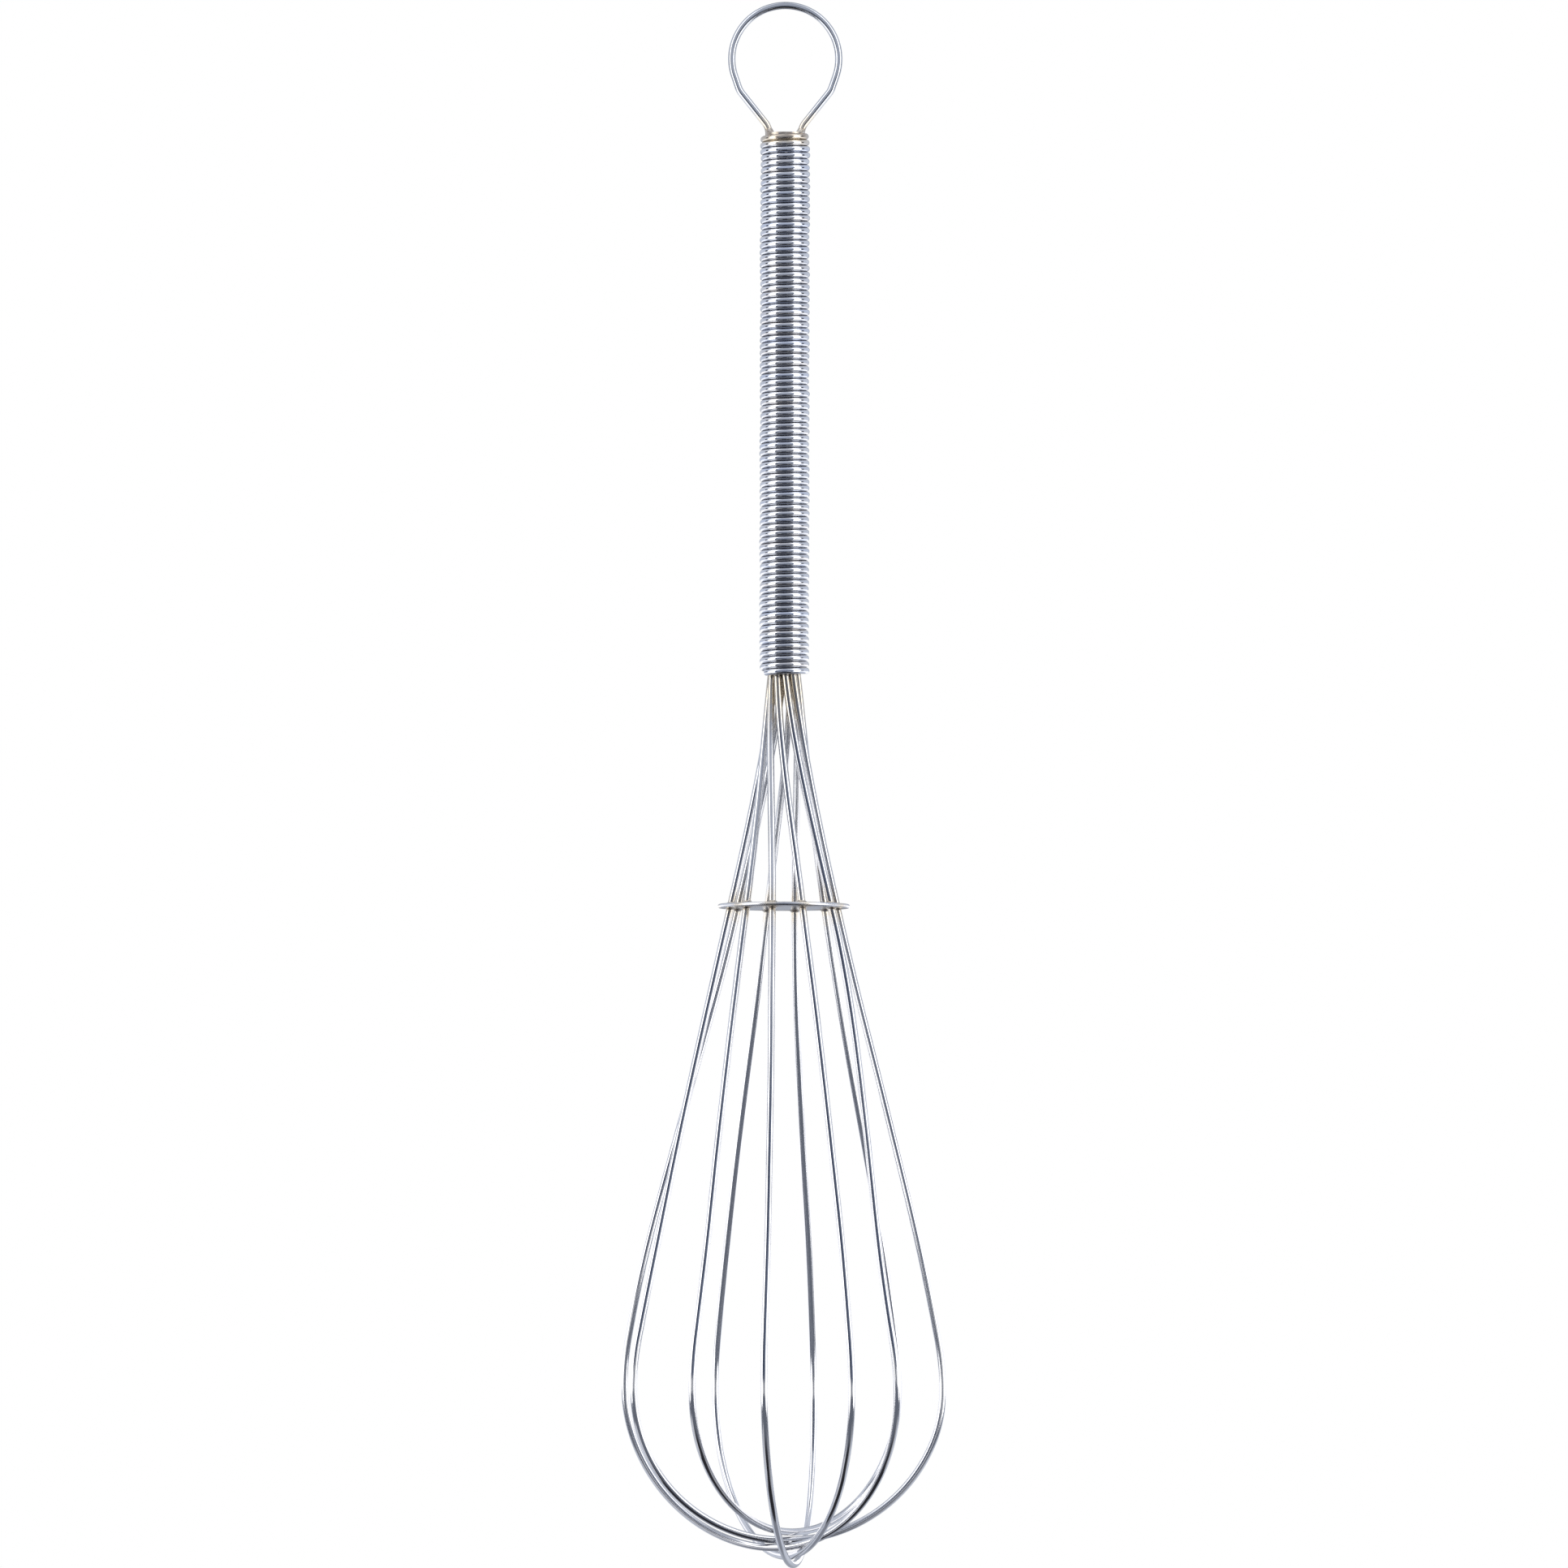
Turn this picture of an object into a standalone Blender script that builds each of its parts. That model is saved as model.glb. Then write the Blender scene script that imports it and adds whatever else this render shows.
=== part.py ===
"""Balloon whisk, 300 mm: five wire loops bound into a handle of close-wound wire.

Metres, +Z up. The whisk hangs, so the origin is the point where a hook bears on the inside of the
hanging loop, at its top. The front is -Y, and azimuths run from the front towards +X.

Each loop of whisk wire is one length: up inside the handle, out through a hole in the spreader
disc, round the balloon and back up through the opposite hole. The loops cross at the tip in a
stack. The handle is a coil wound round the ten legs, and the hanging loop's two legs run down
its middle. Braze holds every leg in the disc, and closes both ends of the handle.
"""

import math

import bmesh
import bpy
from mathutils import Vector

# Driving dimensions
OVERALL_LENGTH = 0.300  # top of the hanging loop to the tip of the balloon
WIRE_D = 0.0014  # whisk wire and hanging-loop wire

# Hanging loop: a ring on two straight legs that lean in and bend upright at the handle
LOOP_RING_R = 0.01025
LOOP_RING_ABOVE_HANDLE = 0.0143
LOOP_RING_END = math.radians(19.0)  # the ring's arc ends this far below its two sides
LOOP_SHOULDER_LENGTH = 0.00292  # from the arc's end, along its tangent, to the leg's first bend
LOOP_SHOULDER_BEND_R = 0.004
LOOP_LEG_LEAN = math.radians(38.5)
LOOP_MOUTH_BEND_R = 0.001
LOOP_LEG_X_AT_MOUTH = 0.00252
LOOP_LEG_X_INSIDE = 0.0009
LOOP_LEG_SPREAD_START = 0.0020  # depths below the handle's top
LOOP_LEG_SPREAD_END = 0.0074
LOOP_LEG_DEPTH = 0.088

# Handle: one wire, close wound
HANDLE_LENGTH = 0.1042
HANDLE_D = 0.0095
COIL_WIRE_D = 0.0012
COIL_WINDING_GAP = 0.00008  # the wire is drawn this much thinner, so the turns never touch
COIL_TURNS = 85.4
COIL_START_AZIMUTH = math.radians(-57.0)

# The ten whisk-wire legs inside the handle
LEG_COUNT = 10
BUNDLE_R = 0.0025
LEG_TOP_BELOW_HANDLE_TOP = 0.0080
BUNDLE_START_AZIMUTH = math.radians(-140.0)  # the first leg; the others follow at equal steps
CONE_START_ABOVE_MOUTH = 0.0008

# Spreader disc
DISC_D = 0.0253
DISC_T = 0.0008
DISC_ABOVE_TIP = 0.1266
HOLE_D = 0.0021
HOLE_RING_R = 0.0102

# Balloon
BELLY_R = 0.0309
BELLY_ABOVE_TIP = 0.034
SHOULDER_HEIGHT = 0.040  # half-height of the ellipse that the belly follows above its middle
SHOULDER_ANGLE = math.radians(14.0)  # where a leg joins that ellipse

# Slopes of a leg, sideways travel for each metre down: outward from the axis, and round it
SLOPE_AT_MOUTH = (0.13, -0.02)
SLOPE_AT_DISC = (0.235, 0.05)
STRAIGHT_AT_DISC = 0.0020  # a leg is straight this far above and below the disc's middle

# Braze
BRAZE_GAP = 0.00005
BEAD_FOOT_R = 0.0019
BEAD_TOP_R = 0.00126
BEAD_LIP = 0.00012  # thickness of the fillet at its foot
BEAD_HEIGHT = 0.0008
TOP_PLUG_R = 0.0032
TOP_PLUG_DEPTH = 0.0017
TOP_PLUG_DISH = 0.0004
BOTTOM_PLUG_R = 0.0016
BOTTOM_PLUG_DEPTH = 0.006
BOTTOM_PLUG_DOME = 0.0009

# Fineness: segments along each stretch of wire, and sides round each turned part
CONE_SEGMENTS = 7
BALLOON_SEGMENTS = 10
TIP_SEGMENTS = 12  # on each side of the tip
RING_SEGMENTS = 26
LOOP_BEND_SEGMENTS = 3  # in each of a leg's two bends
LOOP_SPREAD_SEGMENTS = 6
COIL_SEGMENTS = 8  # in each turn
WIRE_BEVEL = 2
COIL_BEVEL = 1
DISC_SIDES = 64
CUTTER_SIDES = 16
BEAD_SIDES = 12
TOP_PLUG_SIDES = 24
BOTTOM_PLUG_SIDES = 20

# Lengths of the cutters, each longer than what it cuts
DISC_CUTTER_LENGTH = 0.004
BRAZE_CUTTER_LENGTH = 0.006

# Levels, from the origin at the hook's bearing point
Z_TIP = WIRE_D - OVERALL_LENGTH
Z_LOOP_CENTRE = WIRE_D / 2 - LOOP_RING_R
Z_HANDLE_TOP = Z_LOOP_CENTRE - LOOP_RING_ABOVE_HANDLE
Z_MOUTH = Z_HANDLE_TOP - HANDLE_LENGTH
Z_DISC = Z_TIP + DISC_ABOVE_TIP
Z_BELLY = Z_TIP + BELLY_ABOVE_TIP

# Each loop: the azimuths in degrees of its two disc holes, and of its two legs where they pass
# the belly; where it crosses the tip, (x, y) in millimetres; and its height there above the
# outermost wire's middle. The loops lie in a stack at the tip, each resting on those outside it.
WHISK_LOOPS = (
    {"holes": (-84.0, 96.0), "belly": (-67.0, 98.0), "crossing": (0.4, -1.4), "height": 4.6},
    {"holes": (-44.0, 130.0), "belly": (-34.0, 134.0), "crossing": (1.5, -1.2), "height": 6.2},
    {"holes": (-12.5, 168.0), "belly": (-6.7, 169.0), "crossing": (1.9, -0.1), "height": 0.0},
    {"holes": (20.0, 197.5), "belly": (25.0, 205.0), "crossing": (0.9, 0.0), "height": 1.6},
    {"holes": (62.0, 239.0), "belly": (44.0, 260.0), "crossing": (-1.5, -2.8), "height": 3.2},
)

STEEL = {"colour": (0.72, 0.73, 0.75), "metallic": 1.0, "roughness": 0.16}
BRAZE = {"colour": (0.62, 0.50, 0.34), "metallic": 1.0, "roughness": 0.34}


# Scene helpers


def clear_scene():
    for item in list(bpy.data.objects):
        bpy.data.objects.remove(item)


def new_collection(name):
    collection = bpy.data.collections.new(name)
    bpy.context.scene.collection.children.link(collection)
    return collection


def give_material(item, finish):
    material = bpy.data.materials.new(item.name)
    material.use_nodes = True
    shader = material.node_tree.nodes["Principled BSDF"]
    shader.inputs["Base Color"].default_value = (*finish["colour"], 1.0)
    shader.inputs["Metallic"].default_value = finish["metallic"]
    shader.inputs["Roughness"].default_value = finish["roughness"]
    item.data.materials.append(material)


def wire(name, points, diameter, bevel_resolution, collection):
    """A round wire through the points, with flat cut ends."""
    curve = bpy.data.curves.new(name, "CURVE")
    curve.dimensions = "3D"
    curve.bevel_depth = diameter / 2
    curve.bevel_resolution = bevel_resolution
    curve.render_resolution_u = 0
    curve.use_fill_caps = True
    spline = curve.splines.new("POLY")
    spline.points.add(len(points) - 1)
    for spline_point, point in zip(spline.points, points):
        spline_point.co = (*point, 1.0)
    item = bpy.data.objects.new(name, curve)
    collection.objects.link(item)
    give_material(item, STEEL)
    return item


def turned(name, profile, location, steps, collection):
    """A solid of revolution from (radius, height) points that run down its outer side."""
    mesh = bpy.data.meshes.new(name)
    vertices = [(radius, 0.0, height) for radius, height in profile]
    edges = [(i, i + 1) for i in range(len(profile) - 1)]
    mesh.from_pydata(vertices, edges, [])
    item = bpy.data.objects.new(name, mesh)
    item.location = location
    collection.objects.link(item)
    screw = item.modifiers.new("turn", "SCREW")
    screw.steps = steps
    screw.render_steps = steps
    screw.use_merge_vertices = True
    screw.merge_threshold = 0.00001
    return item


def rod_cutter(name, centre, direction, diameter, length, collection):
    """A plain cylinder along a direction, for cutting a hole."""
    mesh = bpy.data.meshes.new(name)
    shape = bmesh.new()
    radius = diameter / 2
    bmesh.ops.create_cone(
        shape, cap_ends=True, segments=CUTTER_SIDES, radius1=radius, radius2=radius, depth=length
    )
    shape.to_mesh(mesh)
    shape.free()
    item = bpy.data.objects.new(name, mesh)
    item.location = centre
    item.rotation_mode = "QUATERNION"
    item.rotation_quaternion = direction.to_track_quat("Z", "Y")
    item.hide_render = True
    item.display_type = "WIRE"
    collection.objects.link(item)
    return item


def cut(item, cutter):
    boolean = item.modifiers.new(cutter.name, "BOOLEAN")
    boolean.operation = "DIFFERENCE"
    boolean.solver = "EXACT"
    boolean.object = cutter


# Geometry of the wires


def polar(radius, azimuth, z=0.0):
    """A point at a radius and an azimuth, measured from the front towards +X."""
    return Vector((radius * math.sin(azimuth), -radius * math.cos(azimuth), z))


def smooth(share):
    return share * share * (3.0 - 2.0 * share)


def travel(azimuth, slope):
    """How a leg moves for each metre down, where its slope is (outward, round the axis)."""
    outward, around = slope
    return polar(outward, azimuth) + polar(around, azimuth + math.pi / 2) - Vector((0, 0, 1))


def bend(start, start_travel, end, end_travel, segments):
    """Points after start and up to end, on the cubic that leaves and arrives at those slopes."""
    drop = start.z - end.z
    points = []
    for i in range(1, segments + 1):
        t = i / segments
        points.append(
            start * (2 * t**3 - 3 * t**2 + 1)
            + start_travel * drop * (t**3 - 2 * t**2 + t)
            + end * (3 * t**2 - 2 * t**3)
            + end_travel * drop * (t**3 - t**2)
        )
    return points


def hole_azimuth(index):
    """Legs 0 to 4 are the loops' first legs, and 5 to 9 their second legs."""
    side, number = divmod(index, len(WHISK_LOOPS))
    return math.radians(WHISK_LOOPS[number]["holes"][side])


def leg_points(index, shoulder, shoulder_azimuth):
    """One leg, from its end inside the handle to just above the shoulder point that it meets."""
    azimuth = hole_azimuth(index)
    bundle_azimuth = BUNDLE_START_AZIMUTH + index * 2 * math.pi / LEG_COUNT
    end = polar(BUNDLE_R, bundle_azimuth, Z_HANDLE_TOP - LEG_TOP_BELOW_HANDLE_TOP)
    mouth = polar(BUNDLE_R, bundle_azimuth, Z_MOUTH + CONE_START_ABOVE_MOUTH)
    hole = polar(HOLE_RING_R, azimuth, Z_DISC)
    through = travel(azimuth, SLOPE_AT_DISC)
    above = hole - through * STRAIGHT_AT_DISC
    below = hole + through * STRAIGHT_AT_DISC
    shoulder_slope = BELLY_R / SHOULDER_HEIGHT * math.tan(SHOULDER_ANGLE)
    at_shoulder = travel(shoulder_azimuth, (shoulder_slope, 0.0))
    points = [end, mouth]
    points += bend(mouth, travel(azimuth, SLOPE_AT_MOUTH), above, through, CONE_SEGMENTS)
    points += [below]
    points += bend(below, through, shoulder, at_shoulder, BALLOON_SEGMENTS)
    return points[:-1]


def tip_points(loop):
    """The bottom of a loop, from shoulder to shoulder across the tip."""
    first, second = (polar(BELLY_R, math.radians(azimuth)) for azimuth in loop["belly"])
    middle = (first + second) / 2
    half = (first - second) / 2
    crossing = Vector((*loop["crossing"], 0)) * 0.001
    depth = BELLY_ABOVE_TIP - WIRE_D / 2 - loop["height"] * 0.001
    points = []
    for i in range(-TIP_SEGMENTS, TIP_SEGMENTS + 1):
        share = 1.0 - abs(i) / TIP_SEGMENTS  # 0 at a shoulder, 1 at the tip
        angle = -SHOULDER_ANGLE + share * (math.pi / 2 + SHOULDER_ANGLE)
        side = -1 if i > 0 else 1
        lowered = SHOULDER_HEIGHT if angle < 0 else depth
        point = half * side * math.cos(angle) + middle.lerp(crossing, smooth(share))
        point.z = Z_BELLY - lowered * math.sin(angle)
        points.append(point)
    return points


def whisk_wire_points(number):
    """One whole loop: down its first leg, across the tip and up its second."""
    bottom = tip_points(WHISK_LOOPS[number])
    span = bottom[0] - bottom[-1]
    azimuth = math.atan2(span.x, -span.y)
    down = leg_points(number, bottom[0], azimuth)
    up = leg_points(number + len(WHISK_LOOPS), bottom[-1], azimuth + math.pi)
    return down + bottom + up[::-1]


def rounded(before, corner, after, radius, segments):
    """Points on the arc that rounds a corner, between its two ends."""
    inward = (before - corner).normalized()
    onward = (after - corner).normalized()
    turn = math.pi - inward.angle(onward)
    centre = corner + (inward + onward).normalized() * radius / math.cos(turn / 2)
    reach = radius * math.tan(turn / 2)
    start = corner + inward * reach - centre
    end = corner + onward * reach - centre
    spokes = (start.lerp(end, i / segments) for i in range(segments + 1))
    return [centre + spoke.normalized() * radius for spoke in spokes]


def hanging_loop_points():
    """The bent wire of the hanging loop, leg end to leg end."""
    ring_end = Vector((LOOP_RING_R * math.cos(LOOP_RING_END), 0, Z_LOOP_CENTRE))
    ring_end.z -= LOOP_RING_R * math.sin(LOOP_RING_END)
    along_shoulder = Vector((-math.sin(LOOP_RING_END), 0, -math.cos(LOOP_RING_END)))
    shoulder = ring_end + along_shoulder * LOOP_SHOULDER_LENGTH
    mouth_drop = (shoulder.x - LOOP_LEG_X_AT_MOUTH) / math.tan(LOOP_LEG_LEAN)
    mouth = Vector((LOOP_LEG_X_AT_MOUTH, 0, shoulder.z - mouth_drop))
    spread_top = Vector((LOOP_LEG_X_AT_MOUTH, 0, Z_HANDLE_TOP - LOOP_LEG_SPREAD_START))
    right = rounded(ring_end, shoulder, mouth, LOOP_SHOULDER_BEND_R, LOOP_BEND_SEGMENTS)
    right += rounded(shoulder, mouth, spread_top, LOOP_MOUTH_BEND_R, LOOP_BEND_SEGMENTS)
    spread = LOOP_LEG_SPREAD_END - LOOP_LEG_SPREAD_START
    for i in range(LOOP_SPREAD_SEGMENTS + 1):
        share = i / LOOP_SPREAD_SEGMENTS
        x = LOOP_LEG_X_AT_MOUTH + (LOOP_LEG_X_INSIDE - LOOP_LEG_X_AT_MOUTH) * smooth(share)
        right.append(Vector((x, 0, spread_top.z - spread * share)))
    right.append(Vector((LOOP_LEG_X_INSIDE, 0, Z_HANDLE_TOP - LOOP_LEG_DEPTH)))
    left = [Vector((-point.x, 0, point.z)) for point in right]
    ring = []
    sweep = math.pi + 2 * LOOP_RING_END
    for i in range(RING_SEGMENTS + 1):
        angle = math.pi + LOOP_RING_END - sweep * i / RING_SEGMENTS
        x = LOOP_RING_R * math.cos(angle)
        ring.append(Vector((x, 0, Z_LOOP_CENTRE + LOOP_RING_R * math.sin(angle))))
    return left[::-1] + ring + right


def coil_points():
    """The handle's helix, right-handed, from its bottom end."""
    radius = (HANDLE_D - COIL_WIRE_D) / 2
    bottom = Z_MOUTH + COIL_WIRE_D / 2
    rise = HANDLE_LENGTH - COIL_WIRE_D
    steps = round(COIL_TURNS * COIL_SEGMENTS)
    points = []
    for i in range(steps + 1):
        azimuth = COIL_START_AZIMUTH + 2 * math.pi * i / COIL_SEGMENTS
        points.append(polar(radius, azimuth, bottom + rise * i / steps))
    return points


# Parts


def make_spreader_disc(collection, cutters):
    mesh = bpy.data.meshes.new("spreader_disc")
    shape = bmesh.new()
    bmesh.ops.create_cone(
        shape, cap_ends=True, segments=DISC_SIDES, radius1=DISC_D / 2, radius2=DISC_D / 2, depth=DISC_T
    )
    shape.to_mesh(mesh)
    shape.free()
    disc = bpy.data.objects.new("spreader_disc", mesh)
    disc.location = (0, 0, Z_DISC)
    collection.objects.link(disc)
    give_material(disc, STEEL)
    for index in range(LEG_COUNT):
        centre = polar(HOLE_RING_R, hole_azimuth(index), Z_DISC)
        name = f"disc_drill_{index}"
        drill = rod_cutter(name, centre, Vector((0, 0, 1)), HOLE_D, DISC_CUTTER_LENGTH, cutters)
        cut(disc, drill)


def make_disc_braze(index, collection, cutters):
    """Braze that fills one disc hole round its leg, with a fillet on both faces."""
    face = DISC_T / 2 + BRAZE_GAP
    neck_r = HOLE_D / 2 - BRAZE_GAP
    above = (
        (0.0, face + BEAD_HEIGHT),
        (BEAD_TOP_R, face + BEAD_HEIGHT),
        (BEAD_FOOT_R, face + BEAD_LIP),
        (BEAD_FOOT_R, face),
        (neck_r, face),
    )
    below = tuple((radius, -height) for radius, height in reversed(above))
    centre = polar(HOLE_RING_R, hole_azimuth(index), Z_DISC)
    braze = turned(f"disc_braze_{index + 1:02d}", above + below, centre, BEAD_SIDES, collection)
    give_material(braze, BRAZE)
    through = travel(hole_azimuth(index), SLOPE_AT_DISC)
    hole_d = WIRE_D + 2 * BRAZE_GAP
    cut(braze, rod_cutter(f"leg_drill_{index}", centre, through, hole_d, BRAZE_CUTTER_LENGTH, cutters))


def make_handle_braze_top(collection, cutters):
    """The plug in the handle's top, dished between the hanging loop's legs."""
    shares = (0.0, 0.35, 0.7, 1.0)
    profile = [(TOP_PLUG_R * share, TOP_PLUG_DISH * (share**2 - 1)) for share in shares]
    profile += [(TOP_PLUG_R, -TOP_PLUG_DEPTH), (0.0, -TOP_PLUG_DEPTH)]
    plug = turned("handle_braze_top", profile, (0, 0, Z_HANDLE_TOP), TOP_PLUG_SIDES, collection)
    give_material(plug, BRAZE)
    hole_d = WIRE_D + 2 * BRAZE_GAP
    for side in (-1, 1):
        middle = Vector((side * LOOP_LEG_X_AT_MOUTH, 0, Z_HANDLE_TOP))
        name = f"loop_drill_{side}"
        drill = rod_cutter(name, middle, Vector((0, 0, 1)), hole_d, BRAZE_CUTTER_LENGTH, cutters)
        cut(plug, drill)


def make_handle_braze_bottom(collection):
    """The plug among the ten legs at the handle's mouth."""
    profile = (
        (0.0, BOTTOM_PLUG_DEPTH),
        (BOTTOM_PLUG_R, BOTTOM_PLUG_DEPTH),
        (BOTTOM_PLUG_R, 0.0),
        (BOTTOM_PLUG_R * 0.7, -BOTTOM_PLUG_DOME * 2 / 3),
        (0.0, -BOTTOM_PLUG_DOME),
    )
    plug = turned("handle_braze_bottom", profile, (0, 0, Z_MOUTH), BOTTOM_PLUG_SIDES, collection)
    give_material(plug, BRAZE)


def main():
    clear_scene()
    parts = new_collection("balloon_whisk")
    cutters = new_collection("cutters")
    wire("hanging_loop", hanging_loop_points(), WIRE_D, WIRE_BEVEL, parts)
    wire("coil_handle", coil_points(), COIL_WIRE_D - COIL_WINDING_GAP, COIL_BEVEL, parts)
    for number in range(len(WHISK_LOOPS)):
        wire(f"whisk_wire_{number + 1}", whisk_wire_points(number), WIRE_D, WIRE_BEVEL, parts)
    make_spreader_disc(parts, cutters)
    for index in range(LEG_COUNT):
        make_disc_braze(index, parts, cutters)
    make_handle_braze_top(parts, cutters)
    make_handle_braze_bottom(parts)


main()
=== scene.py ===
import math

import bmesh
import bpy
import numpy as np
from mathutils import Matrix, Vector, noise


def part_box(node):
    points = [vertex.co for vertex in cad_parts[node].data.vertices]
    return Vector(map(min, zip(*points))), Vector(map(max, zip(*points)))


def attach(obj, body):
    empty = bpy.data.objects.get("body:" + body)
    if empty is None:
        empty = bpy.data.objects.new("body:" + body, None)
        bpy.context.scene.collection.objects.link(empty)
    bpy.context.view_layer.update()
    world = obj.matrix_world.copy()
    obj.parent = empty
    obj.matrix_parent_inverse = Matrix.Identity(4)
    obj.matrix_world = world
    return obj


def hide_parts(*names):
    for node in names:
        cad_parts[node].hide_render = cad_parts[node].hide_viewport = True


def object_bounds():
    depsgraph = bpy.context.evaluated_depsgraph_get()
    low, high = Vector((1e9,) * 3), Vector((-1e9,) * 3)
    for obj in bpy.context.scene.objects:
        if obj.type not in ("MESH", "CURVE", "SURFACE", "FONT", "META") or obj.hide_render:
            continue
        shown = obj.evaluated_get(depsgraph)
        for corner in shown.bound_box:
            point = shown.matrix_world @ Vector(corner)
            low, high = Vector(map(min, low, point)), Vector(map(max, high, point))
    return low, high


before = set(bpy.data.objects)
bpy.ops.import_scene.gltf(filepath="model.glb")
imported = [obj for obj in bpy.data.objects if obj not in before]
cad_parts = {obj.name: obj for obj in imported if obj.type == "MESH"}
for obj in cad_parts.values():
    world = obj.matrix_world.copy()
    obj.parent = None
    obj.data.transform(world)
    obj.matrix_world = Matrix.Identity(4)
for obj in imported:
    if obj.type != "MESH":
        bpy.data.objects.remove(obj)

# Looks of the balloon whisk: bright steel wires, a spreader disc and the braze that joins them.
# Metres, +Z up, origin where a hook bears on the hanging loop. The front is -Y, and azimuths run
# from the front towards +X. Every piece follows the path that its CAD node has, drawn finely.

noise.seed_set(7)  # else noise_vector differs from run to run

CAD_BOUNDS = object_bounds()
BODY = "root"

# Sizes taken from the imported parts

HANDLE_LOW, HANDLE_HIGH = (Vector(corner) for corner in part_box("coil_handle"))
DISC_LOW, DISC_HIGH = (Vector(corner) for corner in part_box("spreader_disc"))
LOOP_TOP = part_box("hanging_loop")[1][2]
WHOLE_LOW, WHOLE_HIGH = (Vector(corner) for corner in CAD_BOUNDS)

WINDING_SLACK = 0.00004  # the CAD winding's wire is this much thinner all round, to part its turns
Z_HANDLE_TOP = HANDLE_HIGH.z + WINDING_SLACK
Z_MOUTH = HANDLE_LOW.z - WINDING_SLACK
Z_DISC = (DISC_LOW.z + DISC_HIGH.z) / 2
Z_TIP = WHOLE_LOW.z
DISC_R = (DISC_HIGH.x - DISC_LOW.x) / 2
DISC_T = DISC_HIGH.z - DISC_LOW.z
WIRE_D = LOOP_TOP  # the hook bears on the wire's underside, at z = 0
WIRE_R = WIRE_D / 2

# The wires' design, as in the CAD, but the hanging loop's legs enter the handle further apart

LOOP_RING_R = 0.01025
LOOP_RING_END = math.radians(19.0)
LOOP_SHOULDER_LENGTH = 0.00292
LOOP_SHOULDER_BEND_R = 0.004
LOOP_LEG_LEAN = math.radians(38.5)
LOOP_MOUTH_BEND_R = 0.0034
LOOP_LEG_X_AT_MOUTH = 0.0031
LOOP_LEG_X_INSIDE = 0.0009
LOOP_LEG_SPREAD_START = 0.0003
LOOP_LEG_SPREAD_END = 0.0074
LOOP_LEG_DEPTH = 0.088
Z_LOOP_CENTRE = WIRE_R - LOOP_RING_R

HANDLE_D = 0.0095
COIL_WIRE_D = 0.0012
COIL_TURNS = 85.4
COIL_START_AZIMUTH = math.radians(-57.0)
COIL_WIRE_SLACK = 0.000004  # all round the visual winding's wire, so that turns only just meet
LAST_TURN_INSET = 0.0001

LEG_COUNT = 10
BUNDLE_R = 0.0025
BUNDLE_START_AZIMUTH = math.radians(-140.0)
LEG_TOP_BELOW_HANDLE_TOP = 0.0080
CONE_START_ABOVE_MOUTH = 0.0008

HOLE_D = 0.0021
HOLE_RING_R = 0.0102
BELLY_R = 0.0309
BELLY_ABOVE_TIP = 0.034
Z_BELLY = Z_TIP + BELLY_ABOVE_TIP
SHOULDER_HEIGHT = 0.040
SHOULDER_ANGLE = math.radians(14.0)
SLOPE_AT_MOUTH = (0.13, -0.02)
SLOPE_AT_DISC = (0.235, 0.05)
STRAIGHT_AT_DISC = 0.0020

BRAZE_REACH = 0.0008  # of a disc joint's fillet, out from the wire
BRAZE_HEIGHT = 0.00062
BRAZE_SKIRT = 0.00003  # how deep a fillet's rim sinks into the disc

# How far the drawn wires stray from their design
HANDLING_BEND = 0.00016
TURN_SWELL = 0.00011
TOP_TURNS_SWELL = 0.00012  # more, at the handle's top
HANDLE_SWAY = 0.00012
TURN_LIFT = 0.000012

# How finely pieces are meshed
WIRE_SIDES = 24
COIL_WIRE_SIDES = 16
CUT_EDGE = 0.0001
COIL_CUT_EDGE = 0.00008
STEPS_PER_TURN = 40
RING_STEPS = 140
TIP_STEPS = 70  # on each side of the tip
DISC_SEGMENTS = 160
DISC_RINGS = 16
DRILL_SEGMENTS = 40
JOINT_SEGMENTS = 36
TOP_JOINT_SEGMENTS = 64
MOUTH_JOINT_SEGMENTS = 40

# Each loop: its two disc holes and its two legs at the belly, as azimuths in degrees; where it
# crosses the tip, (x, y) in millimetres; and its height there above the outermost wire's middle.
WHISK_LOOPS = (
    {"holes": (-84.0, 96.0), "belly": (-67.0, 98.0), "crossing": (0.4, -1.4), "height": 4.6},
    {"holes": (-44.0, 130.0), "belly": (-34.0, 134.0), "crossing": (1.5, -1.2), "height": 6.2},
    {"holes": (-12.5, 168.0), "belly": (-6.7, 169.0), "crossing": (1.9, -0.1), "height": 0.0},
    {"holes": (20.0, 197.5), "belly": (25.0, 205.0), "crossing": (0.9, 0.0), "height": 1.6},
    {"holes": (62.0, 239.0), "belly": (44.0, 260.0), "crossing": (-1.5, -2.8), "height": 3.2},
)
MILLIMETRE = 0.001


# Paths


def polar(radius, azimuth, z=0.0):
    return Vector((radius * math.sin(azimuth), -radius * math.cos(azimuth), z))


def smooth(share):
    return share * share * (3.0 - 2.0 * share)


def clamped(value):
    return min(max(value, 0.0), 1.0)


def travel(azimuth, slope):
    """How a leg moves for each metre down, where its slope is (outward, round the axis)."""
    outward, around = slope
    return polar(outward, azimuth) + polar(around, azimuth + math.pi / 2) - Vector((0, 0, 1))


def bend(start, start_travel, end, end_travel, segments):
    """Points after start and up to end, on the cubic that leaves and arrives at those slopes."""
    drop = start.z - end.z
    points = []
    for i in range(1, segments + 1):
        t = i / segments
        points.append(
            start * (2 * t**3 - 3 * t**2 + 1)
            + start_travel * drop * (t**3 - 2 * t**2 + t)
            + end * (3 * t**2 - 2 * t**3)
            + end_travel * drop * (t**3 - t**2)
        )
    return points


def straight(start, end, segments):
    """Points after start and up to end, in a line."""
    return [start.lerp(end, i / segments) for i in range(1, segments + 1)]


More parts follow.
